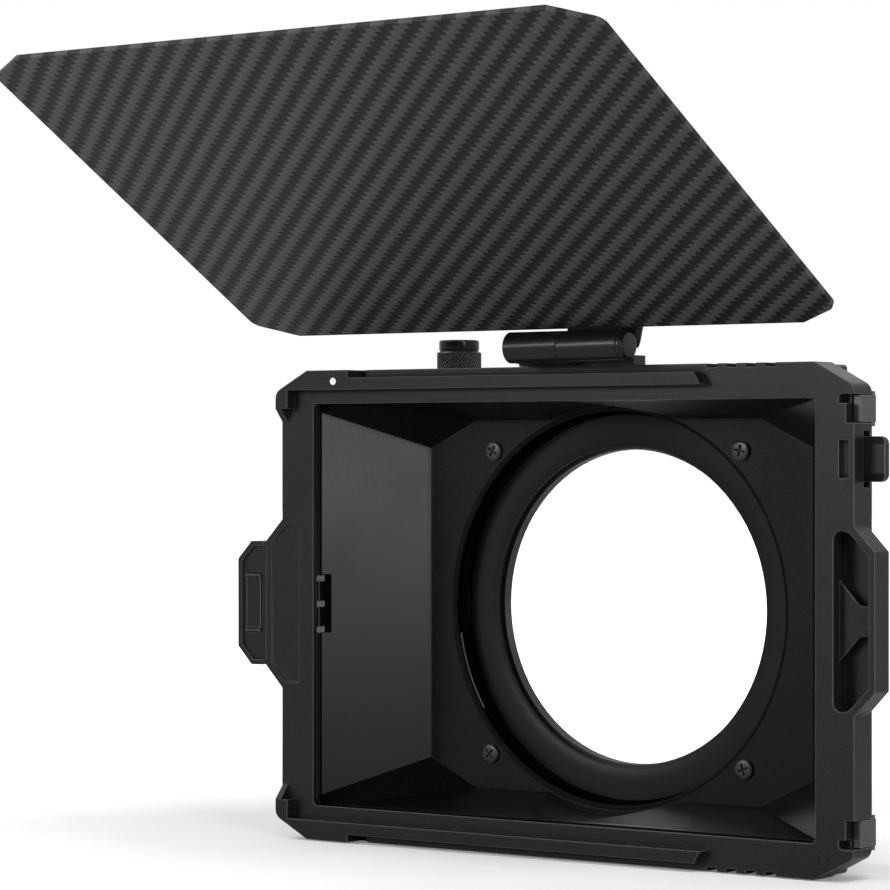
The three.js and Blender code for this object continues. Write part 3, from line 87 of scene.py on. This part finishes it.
class Tree:
    """The node tree of a material or a world, built by short calls."""

    def __init__(self, owner):
        self.owner = owner
        owner.use_nodes = True
        self.nodes = owner.node_tree.nodes
        self.links = owner.node_tree.links
        self.nodes.clear()

    def node(self, kind, inputs=None, **settings):
        """Adds a node with these settings. Its inputs are numbers, colours or other nodes' outputs."""
        made = self.nodes.new(kind)
        for key, value in settings.items():
            setattr(made, key, value)
        for key, value in (inputs or {}).items():
            if isinstance(value, bpy.types.NodeSocket):
                self.links.new(value, made.inputs[key])
            else:
                made.inputs[key].default_value = value
        return made

    def math(self, operation, a, b=0.0):
        return self.node("ShaderNodeMath", {0: a, 1: b}, operation=operation).outputs[0]

    def added(self, a, b):
        return self.math("ADD", a, b)

    def times(self, a, b):
        return self.math("MULTIPLY", a, b)

    def stretch(self, vector, scale):
        made = self.node("ShaderNodeVectorMath", {0: vector, 1: scale}, operation="MULTIPLY")
        return made.outputs["Vector"]

    def dot(self, a, b):
        made = self.node("ShaderNodeVectorMath", {0: a, 1: b}, operation="DOT_PRODUCT")
        return made.outputs["Value"]

    def length(self, vector):
        return self.node("ShaderNodeVectorMath", {0: vector}, operation="LENGTH").outputs["Value"]

    def place(self):
        return self.node("ShaderNodeTexCoord").outputs["Object"]

    def facing(self):
        return self.node("ShaderNodeNewGeometry").outputs["Normal"]

    def off_axis(self, place):
        """The part of a place that points straight away from the optical axis."""
        return self.stretch(place, (1.0, 0.0, 1.0))

    def noise(self, vector, scale, detail=2.0, roughness=0.5):
        made = self.node("ShaderNodeTexNoise", {
            "Vector": vector, "Scale": scale, "Detail": detail, "Roughness": roughness})
        return made.outputs["Fac"]

    def span(self, value, low, high, to_low, to_high):
        made = self.node("ShaderNodeMapRange", {
            "Value": value, "From Min": low, "From Max": high, "To Min": to_low, "To Max": to_high})
        return made.outputs["Result"]

    def spread(self, noise, low, high):
        """Spreads the values that a noise mostly has over this range."""
        return self.span(noise, 0.3, 0.7, low, high)

    def mixed(self, share, first, second):
        made = self.node("ShaderNodeMix", {"Factor": share, "A": first, "B": second}, data_type="RGBA")
        return made.outputs["Result"]

    def bump(self, height, distance, strength=1.0, under=None):
        inputs = {"Strength": strength, "Distance": distance, "Height": height}
        if under is not None:
            inputs["Normal"] = under
        return self.node("ShaderNodeBump", inputs).outputs["Normal"]

    def soft_edges(self, radius):
        """A normal rounded by this radius, how near a point is to an outer edge, and how deep in a corner."""
        rounded = self.node("ShaderNodeBevel", {"Radius": radius}, samples=EDGE_SAMPLES).outputs["Normal"]
        turn = self.dot(rounded, self.facing())
        free = self.node("ShaderNodeAmbientOcclusion", {"Distance": CORNER_REACH},
                         samples=CORNER_SAMPLES, only_local=True)
        hollow = self.span(free.outputs["AO"], 0.4, 0.9, 1.0, 0.0)
        near_edge = self.span(turn, 0.97, 0.75, 0.0, 1.0)
        return rounded, self.times(near_edge, self.math("SUBTRACT", 1.0, hollow)), hollow

    def surface(self, **inputs):
        """Ends a material in its shader, and gives the material."""
        shader = self.node("ShaderNodeBsdfPrincipled", {
            key.replace("_", " "): value for key, value in inputs.items()})
        self.node("ShaderNodeOutputMaterial", {"Surface": shader.outputs[0]})
        return self.owner


def material_tree(name):
    return Tree(bpy.data.materials.new(name))


def grey(level, blue=1.0):
    return (level, level, level * blue, 1.0)


# Materials

CORNER_SHADE, CORNER_ROUGHNESS = 0.2, 0.5
AXIS_ROUGHNESS = 0.7
REARWARDS = 0.05
COOL = 1.03


def paint_edge_light_and_corner_shade(tree, colour, level, painted_edge_highlight, near_edge, hollow):
    """A colour with a painted highlight that makes outer edges paler, and painted shade that makes corners
    darker.
    """
    colour = tree.mixed(near_edge, colour, grey(level + painted_edge_highlight))
    return tree.mixed(hollow, colour, grey(level * CORNER_SHADE))


def sheen(tree, cloud, cloud_swing, fine, roughness, fine_swing, hollow):
    """A roughness that changes a little over the surface and is highest in corners."""
    level = tree.added(tree.spread(cloud, -cloud_swing, cloud_swing),
                       tree.spread(fine, roughness - fine_swing, roughness + fine_swing))
    return tree.added(level, tree.times(hollow, CORNER_ROUGHNESS))


def moulded(name, level, roughness, specular, grain, edge, painted_edge_highlight, outside=None, matt_within=None):
    """A fine-grained black moulding: a spark-eroded grain, a faint cloudiness in its sheen, a painted
    highlight on its outer edges and painted shade in its corners. A hollow one may have painted light on its
    outer faces, a paler colour where they look away from the optical axis or rearwards, and be matt within a
    radius of that axis."""
    tree = material_tree(name)
    place = tree.place()
    fine = tree.noise(place, 2600.0, 2.0, 0.6)
    coarse = tree.noise(place, 900.0, 1.0, 0.5)
    cloud = tree.noise(place, 28.0, 3.0, 0.55)
    rounded, near_edge, hollow = tree.soft_edges(edge)
    colour = tree.mixed(tree.span(fine, 0.35, 0.65, 0.0, 1.0), grey(level * 0.72), grey(level * 1.3))
    # Painted light: the outer faces of a hollow moulding get a paler colour, as if lit from behind.
    if outside is not None:
        outwards = tree.node("ShaderNodeVectorMath", {0: tree.off_axis(place), 1: (0.0, REARWARDS, 0.0)},
                             operation="ADD").outputs["Vector"]
        outer = tree.math("GREATER_THAN", tree.dot(tree.facing(), outwards), 0.0)
        colour = tree.mixed(outer, colour, grey(outside))
    roughness = sheen(tree, cloud, 0.035, fine, roughness, 0.04, hollow)
    if matt_within is not None:
        near_axis = tree.math("LESS_THAN", tree.length(tree.off_axis(place)), matt_within)
        roughness = tree.added(roughness, tree.times(near_axis, AXIS_ROUGHNESS))
    normal = tree.bump(fine, 1.6e-5, grain, tree.bump(coarse, 2.5e-5, grain, rounded))
    # Outer edges get a painted highlight and corners painted shade.
    return tree.surface(Base_Color=paint_edge_light_and_corner_shade(tree, colour, level, painted_edge_highlight, near_edge, hollow),
                        Roughness=roughness, Normal=normal, Specular_IOR_Level=specular)


def anodised(name, level, roughness, specular, edge, painted_edge_highlight, thread=False):
    """A satin black anodised metal with a very fine blasted surface, and turned threads inside if asked."""
    tree = material_tree(name)
    place = tree.place()
    fine = tree.noise(place, 5200.0, 2.0, 0.6)
    cloud = tree.noise(place, 40.0, 3.0, 0.5)
    normal, near_edge, hollow = tree.soft_edges(edge)
    colour = tree.mixed(tree.spread(cloud, 0.0, 1.0), grey(level * 0.8, COOL), grey(level * 1.2, COOL))
    if thread:
        ridge = tree.math("SINE", tree.dot(place, (0.0, 2.0 * math.pi / THREAD_PITCH, 0.0)))
        inside = tree.math("LESS_THAN", tree.length(tree.off_axis(place)), THREAD_REACH)
        normal = tree.bump(tree.times(ridge, inside), THREAD_DEPTH, 1.0, normal)
    # Outer edges get a painted highlight and corners painted shade.
    return tree.surface(Base_Color=paint_edge_light_and_corner_shade(tree, colour, level, painted_edge_highlight, near_edge, hollow),
                        Roughness=sheen(tree, cloud, 0.03, fine, roughness, 0.03, hollow),
                        Normal=tree.bump(fine, 6e-6, 0.5, normal), Specular_IOR_Level=specular)


def drawn_wire(name, low, high, roughness):
    """Drawn metal with fine lines along it."""
    tree = material_tree(name)
    lines = tree.noise(tree.stretch(tree.place(), (1.0, 8.0, 1.0)), 900.0, 3.0, 0.6)
    return tree.surface(Base_Color=tree.mixed(lines, grey(low, 1.02), grey(high, 1.02)),
                        Metallic=1.0, Normal=tree.bump(lines, 4e-6, 0.6),
                        Roughness=tree.spread(lines, roughness - 0.08, roughness + 0.08))


def twill(name):
    """A 2/2 twill of carbon tows under a satin resin, laid along the flag, with painted sheen and painted
    shade on its tows.
    """
    tree = material_tree(name)
    place = tree.place()
    side = tree.dot(place, (1.0, 0.0, 0.0))
    ahead = tree.dot(place, (0.0, -math.cos(FLAG_RISE), math.sin(FLAG_RISE)))
    u = tree.added(tree.math("DIVIDE", side, WARP_PITCH), WEAVE_PHASE)
    v = tree.math("DIVIDE", tree.added(ahead, WEAVE_START), WEFT_PITCH)
    column, row = tree.math("FLOOR", u), tree.math("FLOOR", v)
    across, onward = tree.math("FRACT", u), tree.math("FRACT", v)
    # Each row's pattern of two over and two under starts one tow further on.
    step = tree.math("FLOORED_MODULO", tree.math("SUBTRACT", column, row), 4.0)
    warp_up = tree.math("LESS_THAN", step, 1.5)
    # How far along its float each tow is, from 0 to 1.
    weft_run = tree.times(tree.added(tree.math("SUBTRACT", step, 2.0), across), 0.5)
    warp_run = tree.times(tree.added(tree.math("SUBTRACT", 1.0, step), onward), 0.5)
    weft_fibre = tree.noise(tree.stretch(place, (FIBRE_DRAW, 1.0, 1.0)), 5200.0, 2.0, 0.6)
    lengthwise = tree.node("ShaderNodeCombineXYZ", {"X": side, "Y": tree.times(ahead, FIBRE_DRAW)})
    warp_fibre = tree.noise(lengthwise.outputs[0], 5200.0, 2.0, 0.6)
    # Painted light: the warp tows are painted lighter than the weft tows as a painted sheen, and each float
    # is painted darker towards one end as painted shade from the crimp.
    dark = tree.mixed(tree.span(weft_run, 0.0, 1.0, 0.0, 1.0), grey(0.002), grey(0.011))
    dark = tree.mixed(tree.spread(weft_fibre, 0.0, 0.4), dark, grey(0.018))
    light = tree.mixed(tree.span(warp_run, 0.0, 0.8, 0.25, 1.0), grey(0.021), grey(0.044))
    light = tree.mixed(tree.spread(warp_fibre, 0.0, 0.4), light, grey(0.066))
    # Each tow crowns across its width.
    weft_crown = tree.math("SINE", tree.times(onward, math.pi))
    warp_crown = tree.math("SINE", tree.times(across, math.pi))
    crown = tree.mixed(warp_up, weft_crown, warp_crown)
    fibre = tree.mixed(warp_up, weft_fibre, warp_fibre)
    roughness = tree.mixed(warp_up, tree.spread(weft_fibre, 0.5, 0.6), tree.spread(warp_fibre, 0.42, 0.55))
    return tree.surface(Base_Color=tree.mixed(warp_up, dark, light), Roughness=roughness,
                        Normal=tree.bump(fibre, 6e-6, 0.5, tree.bump(crown, 4e-5, 0.5)),
                        Specular_IOR_Level=0.14)


def painted(name):
    """White marking paint, a little uneven."""
    tree = material_tree(name)
    spots = tree.noise(tree.place(), 1800.0, 2.0, 0.5)
    colour = tree.mixed(spots, (0.8, 0.8, 0.78, 1.0), (0.9, 0.9, 0.88, 1.0))
    return tree.surface(Base_Color=colour, Roughness=tree.spread(spots, 0.35, 0.5),
                        Normal=tree.bump(spots, 8e-6, 0.5))


def pale_floor(name):
    """A pale floor that the camera sees as white further out, with the object's shadow on it."""
    tree = material_tree(name)
    seen = tree.node("ShaderNodeLightPath").outputs["Is Camera Ray"]
    flecks = tree.noise(tree.place(), 60.0, 2.0, 0.5)
    glow = tree.span(tree.length(tree.place()), 0.12, 0.8, 0.15, 1.0)
    return tree.surface(Base_Color=tree.mixed(flecks, grey(0.87), grey(0.91)),
                        Roughness=tree.spread(flecks, 0.75, 0.85), Emission_Color=grey(1.0),
                        Emission_Strength=tree.times(seen, glow), Specular_IOR_Level=0.2)


THREAD_PITCH, THREAD_REACH, THREAD_DEPTH = 0.00075, 0.0377, 1.5e-4
BORE_LIP = 0.0475
FLAG_RISE = math.radians(30.2)
WARP_PITCH, WEFT_PITCH = 0.001786, 0.001511
WEAVE_PHASE, WEAVE_START = 2.66, 0.0341
FIBRE_DRAW = 0.12

# The level that each look adds at its outer edges is a painted highlight.
looks = {
    "shell": moulded("black_shell_grain", level=0.008, roughness=0.33, specular=0.13, grain=0.6,
                     edge=0.0005, painted_edge_highlight=0.11),
    "inner": moulded("black_shell_inner", level=0.004, roughness=0.22, specular=0.1, grain=0.08,
                     edge=0.0001, painted_edge_highlight=0.01, outside=0.02, matt_within=BORE_LIP),
    "sleeve": moulded("black_sleeve_matt", level=0.002, roughness=0.7, specular=0.0, grain=0.3,
                      edge=0.0001, painted_edge_highlight=0.01),
    "grey": moulded("grey_shell_satin", level=0.007, roughness=0.33, specular=0.13, grain=0.3,
                    edge=0.0005, painted_edge_highlight=0.18),
    "clip": moulded("grey_clip_satin", level=0.15, roughness=0.35, specular=0.5, grain=0.2,
                    edge=0.0001, painted_edge_highlight=0.05),
    "metal": anodised("black_metal_satin", level=0.009, roughness=0.32, specular=0.3,
                      edge=0.0003, painted_edge_highlight=0.09),
    "catch": anodised("black_catch_satin", level=0.02, roughness=0.3, specular=0.42,
                      edge=0.0003, painted_edge_highlight=0.12),
    "knob": anodised("black_knob_bright", level=0.006, roughness=0.12, specular=0.15,
                     edge=0.00004, painted_edge_highlight=0.03),
    # The knurl's ridges get a strong painted highlight and its pits painted shade.
    "knurl": anodised("black_knurl_painted_highlight", level=0.004, roughness=0.3, specular=0.25,
                      edge=0.00013, painted_edge_highlight=0.5),
    "hinge": anodised("black_hinge_satin", level=0.006, roughness=0.24, specular=0.17,
                      edge=0.0002, painted_edge_highlight=0.05),
    "ring": anodised("black_ring_satin", level=0.004, roughness=0.34, specular=0.1,
                     edge=0.0003, painted_edge_highlight=0.02),
    "thread": anodised("black_thread_satin", level=0.004, roughness=0.36, specular=0.3,
                       edge=0.0002, painted_edge_highlight=0.06, thread=True),
    "steel": drawn_wire("spring_steel", low=0.42, high=0.62, roughness=0.3),
    "wire": drawn_wire("blued_wire", low=0.04, high=0.08, roughness=0.2),
    "carbon": twill("carbon_twill"),
    "white": painted("white_paint_dot"),
}
finish_of = {
    "inner": ("rear_housing",),
    "sleeve": ("bore_sleeve",),
    "grey": ("press_block", "release_button"),
    "clip": ("filter_clip",),
    "catch": ("corner_catch_upper", "corner_catch_lower"),
    "metal": ("clamp_stud", "hinge_screw_1", "hinge_screw_2", "flag_screw_1", "flag_screw_2",
              "frame_screw_1", "frame_screw_2", "frame_screw_3", "frame_screw_4",
              "panel_screw_1", "panel_screw_2", "panel_screw_3", "panel_screw_4",
              "handle_screw_upper", "handle_screw_lower"),
    "knob": ("clamp_knob",),
    "hinge": ("hinge_base", "hinge_barrel"),
    "ring": ("adapter_ring", "clamp_shoe"),
    "thread": ("lens_thread_ring",),
    "steel": ("hinge_pin", "friction_washer", "press_spring", "button_spring",
              "clip_spring_upper", "clip_spring_lower"),
    "wire": ("ring_spring",),
    "carbon": ("flag",),
    "white": ("index_dot",),
}
look_of = {node: look for look, members in finish_of.items() for node in members}


# Shading of the edges

ROUND_SHADED_TO, CRISP_SHADED_TO = math.radians(34.0), math.radians(18.0)
WELD_REACH = 2e-6


def smooth_by_angle(angle):
    """A geometry group that drops the loader's normals and shades smooth, but for edges over the angle."""
    group = bpy.data.node_groups.new("smooth_by_angle", "GeometryNodeTree")
    for way in ("INPUT", "OUTPUT"):
        group.interface.new_socket("Geometry", in_out=way, socket_type="NodeSocketGeometry")
    start = group.nodes.new("NodeGroupInput")
    end = group.nodes.new("NodeGroupOutput")
    bare = group.nodes.new("GeometryNodeRemoveAttribute")
    bare.inputs["Name"].default_value = "custom_normal"
    edge = group.nodes.new("GeometryNodeInputMeshEdgeAngle")
    test = group.nodes.new("FunctionNodeCompare")
    test.data_type = "FLOAT"
    test.operation = "LESS_EQUAL"
    test.inputs["B"].default_value = angle
    faces = group.nodes.new("GeometryNodeSetShadeSmooth")
    faces.domain = "FACE"
    edges = group.nodes.new("GeometryNodeSetShadeSmooth")
    edges.domain = "EDGE"
    link = group.links.new
    link(start.outputs[0], bare.inputs["Geometry"])
    link(bare.outputs[0], faces.inputs["Geometry"])
    link(faces.outputs[0], edges.inputs["Geometry"])
    link(edge.outputs["Unsigned Angle"], test.inputs["A"])
    link(test.outputs["Result"], edges.inputs["Shade Smooth"])
    link(edges.outputs[0], end.inputs[0])
    return group


smoothing = smooth_by_angle(ROUND_SHADED_TO)
crisp = smooth_by_angle(CRISP_SHADED_TO)
crisp_nodes = ("release_button", "press_block", "rear_housing", "adapter_ring", "bore_sleeve",
               "lens_thread_ring", "hinge_barrel")


def shade(obj, group):
    obj.modifiers.new("shade", "NODES").node_group = group


for name, obj in nodes.items():
    obj.data.materials.clear()
    obj.data.materials.append(looks[look_of.get(name, "shell")])
    # The loader splits each face's corners, so they are joined first.
    obj.modifiers.new("weld", "WELD").merge_threshold = WELD_REACH
    shade(obj, crisp if name in crisp_nodes else smoothing)
    obj.modifiers.new("weigh", "WEIGHTED_NORMAL").keep_sharp = True


# Knob with a diamond knurl, in place of the plain one

def put(name, data):
    """Adds an object with this data to the scene."""
    obj = bpy.data.objects.new(name, data)
    bpy.context.scene.collection.objects.link(obj)
    return obj


def put_mesh(name, points, faces):
    mesh = bpy.data.meshes.new(name)
    mesh.from_pydata(points, [], faces)
    mesh.update()
    return put(name, mesh)


def lathe(name, profile, sides, at, relief):
    """A closed turned mesh about an upright axis. A profile is [radius, height]; relief cuts into it."""
    rings, points, faces = [], [], []
    for radius, height in profile:
        if radius == 0.0:
            rings.append([len(points)])
            points.append((at[0], at[1], height))
            continue
        rings.append(list(range(len(points), len(points) + sides)))
        for k in range(sides):
            angle = 2.0 * math.pi * k / sides
            reach = radius - relief(angle, height)
            points.append((at[0] + reach * math.cos(angle), at[1] + reach * math.sin(angle), height))
    for lower, upper in zip(rings, rings[1:]):
        for k in range(sides):
            n = (k + 1) % sides
            if len(lower) == 1:
                faces.append((lower[0], upper[n], upper[k]))
            elif len(upper) == 1:
                faces.append((lower[k], lower[n], upper[0]))
            else:
                faces.append((lower[k], lower[n], upper[n], upper[k]))
    return put_mesh(name, points, faces)


KNOB_AT = (-0.05035, -0.0019)
KNOB_BASE, KNURL_TOP, KNOB_TOP = 0.0565, 0.0615, 0.0643
KNURL_RADIUS, CAP_RADIUS, KNOB_HOLE, HOLE_TOP = 0.00545, 0.00495, 0.0023, 0.0606
KNURL_LOW, KNURL_HIGH, KNURL_DEPTH = 0.0570, 0.0611, 0.00042
KNURL_COUNT, KNURL_PITCH, KNURL_PIT = 38, 0.00105, 0.85
KNURL_ROWS, SIDES_PER_RIDGE = 32, 8
BASE_BEVEL, TOP_BEVEL, TOP_BEVEL_HEIGHT = 0.0004, 0.0003, 0.0001
NECK_STEP, NECK_TOP, NECK_END = 0.0002, 0.0003, 0.0005
ROUNDING, ROUND_STEPS = 0.0005, 6
HOLE_WALL = 0.001


def knurl(angle, height):
    """The depth below two crossing sets of helical ridges, which leave diamond pits between them."""
    if not KNURL_LOW < height < KNURL_HIGH:
        return 0.0
    turn = KNURL_COUNT * angle / (2.0 * math.pi)
    rise = (height - KNURL_LOW) / KNURL_PITCH
    ridge = max(2.0 * abs((turn + side * rise) % 1.0 - 0.5) for side in (1.0, -1.0))
    return KNURL_DEPTH * max(0.0, 1.0 - ridge / KNURL_PIT)


knob_profile = [
    (0.0, HOLE_TOP), (KNOB_HOLE, HOLE_TOP), (KNOB_HOLE, KNOB_BASE),
    (KNURL_RADIUS - BASE_BEVEL, KNOB_BASE), (KNURL_RADIUS, KNOB_BASE + BASE_BEVEL),
    (KNURL_RADIUS, KNURL_LOW)]
for row in range(1, KNURL_ROWS):
    knob_profile.append((KNURL_RADIUS, KNURL_LOW + (KNURL_HIGH - KNURL_LOW) * row / KNURL_ROWS))
knob_profile += [
    (KNURL_RADIUS, KNURL_HIGH), (KNURL_RADIUS - TOP_BEVEL, KNURL_TOP - TOP_BEVEL_HEIGHT),
    (CAP_RADIUS - NECK_STEP, KNURL_TOP), (CAP_RADIUS - NECK_STEP, KNURL_TOP + NECK_TOP),
    (CAP_RADIUS, KNURL_TOP + NECK_END)]
for step in range(ROUND_STEPS + 1):
    bend = 0.5 * math.pi * step / ROUND_STEPS
    knob_profile.append((CAP_RADIUS - ROUNDING * (1.0 - math.cos(bend)),
                         KNOB_TOP - ROUNDING * (1.0 - math.sin(bend))))
knob_profile.append((0.0, KNOB_TOP))
knob = lathe("knurled_knob", knob_profile, KNURL_COUNT * SIDES_PER_RIDGE, KNOB_AT, knurl)
for look in ("knob", "knurl"):
    knob.data.materials.append(looks[look])
for face in knob.data.polygons:
    from_hole = math.hypot(face.center.x - KNOB_AT[0], face.center.y - KNOB_AT[1]) - KNOB_HOLE
    face.material_index = int(KNURL_LOW < face.center.z < KNURL_HIGH and from_hole > HOLE_WALL)
shade(knob, crisp)
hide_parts("clamp_knob")
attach(knob, "clamp_screw")


# Light seal in the gap between the bore sleeve and the adapter ring, open where the clamp shoe comes through

def band(name, section, first, last, steps):
    """A closed band round the optical axis between two angles. A section is [radius, y] points in order."""
    points, faces = [], []
    count = len(section)
    for step in range(steps + 1):
        angle = first + (last - first) * step / steps
        points += [(radius * math.cos(angle), y, radius * math.sin(angle)) for radius, y in section]
    for here in range(0, steps * count, count):
        there = here + count
        for k in range(count):
            n = (k + 1) % count
            faces.append((here + k, there + k, there + n, here + n))
    faces.append(tuple(range(count)))
    faces.append(tuple(steps * count + k for k in reversed(range(count))))
    return put_mesh(name, points, faces)


SEAL_OUTER, SEAL_INNER, SEAL_LIP = 0.04652, 0.04622, 0.046
SEAL_FRONT, LIP_BACK, LIP_END, SEAL_BACK = -0.0034, -0.00316, -0.0029, -0.00024
SEAL_EDGE = 0.00006
SEAL_HALF_TURN, SEAL_STEPS = math.radians(166.0), 160
seal = band("bore_seal", [
    (SEAL_OUTER, SEAL_FRONT), (SEAL_LIP + SEAL_EDGE, SEAL_FRONT), (SEAL_LIP, SEAL_FRONT + SEAL_EDGE),
    (SEAL_LIP, LIP_BACK), (SEAL_INNER, LIP_END), (SEAL_INNER, SEAL_BACK - SEAL_EDGE),
    (SEAL_INNER + SEAL_EDGE, SEAL_BACK), (SEAL_OUTER, SEAL_BACK)],
    -SEAL_HALF_TURN, SEAL_HALF_TURN, SEAL_STEPS)
seal.data.materials.append(looks["sleeve"])
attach(seal, "housing")


# Each spring that a joint deforms gets a mesh of its own

for joint in frame["joints"]:
    for spring in joint.get("deforming_nodes", ()):
        letter = spring["mode"][-1]
        way = "xyz".index(letter)
        axis, anchor = [0.0, 0.0, 0.0], [0.0, 0.0, 0.0]
        axis[way], anchor[way] = 1.0, spring["fixed_end_" + letter + "_m"]
        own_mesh(nodes[spring["node"]])


# Floor, lights, world and camera

FLOOR_HALF, FLOOR_GAP = 4.0, 0.0003
floor = put_mesh("floor", [(-FLOOR_HALF, -FLOOR_HALF, 0.0), (FLOOR_HALF, -FLOOR_HALF, 0.0),
                           (FLOOR_HALF, FLOOR_HALF, 0.0), (-FLOOR_HALF, FLOOR_HALF, 0.0)], [(0, 1, 2, 3)])
floor.location = (0.0, 0.0, cad_box[0][2] - FLOOR_GAP)
floor.data.materials.append(pale_floor("pale_floor"))

# Name, place, width and height, power; each faces the origin.
softboxes = (
    ("key", (0.9, -0.7, 1.5), (0.75, 0.75), 16.0),
    ("top_left", (-0.9, -0.1, 1.25), (0.8, 0.8), 7.0),
    ("right_front", (1.59, -0.93, -0.05), (0.5, 1.3), 28.0),
    ("left_front", (-0.8, -1.6, 0.45), (0.5, 0.4), 12.0),
)
for name, at, size, power in softboxes:
    lamp = bpy.data.lights.new(name, "AREA")
    lamp.shape = "RECTANGLE"
    lamp.size, lamp.size_y = size
    lamp.energy = power
    obj = put(name, lamp)
    obj.location = at
    obj.rotation_euler = (-Vector(at)).to_track_quat("-Z", "Y").to_euler()

# The world is white to the camera and in reflections, and lights the object softly.
WORLD_LIGHT = 0.35
studio = Tree(bpy.data.worlds.new("studio"))
ray = studio.node("ShaderNodeLightPath").outputs
seen = studio.math("MAXIMUM", ray["Is Camera Ray"], ray["Is Glossy Ray"])
seen = studio.math("MAXIMUM", seen, ray["Is Transmission Ray"])
background = studio.node("ShaderNodeBackground", {
    "Color": grey(1.0), "Strength": studio.span(seen, 0.0, 1.0, WORLD_LIGHT, 1.0)})
studio.node("ShaderNodeOutputWorld", {"Surface": background.outputs[0]})
bpy.context.scene.world = studio.owner

camera_data = bpy.data.cameras.new("camera")
camera_data.sensor_width = 36.0
camera_data.lens = 139.02
camera_data.shift_y = 0.0135
camera_data.clip_start = 0.01
camera_data.clip_end = 50.0
camera = put("camera", camera_data)
camera.location = (0.44959, -0.6834, 0.0356)
camera.rotation_euler = (math.radians(90.0), 0.0, math.radians(36.5))
bpy.context.scene.camera = camera
bpy.context.scene.view_settings.view_transform = "Standard"
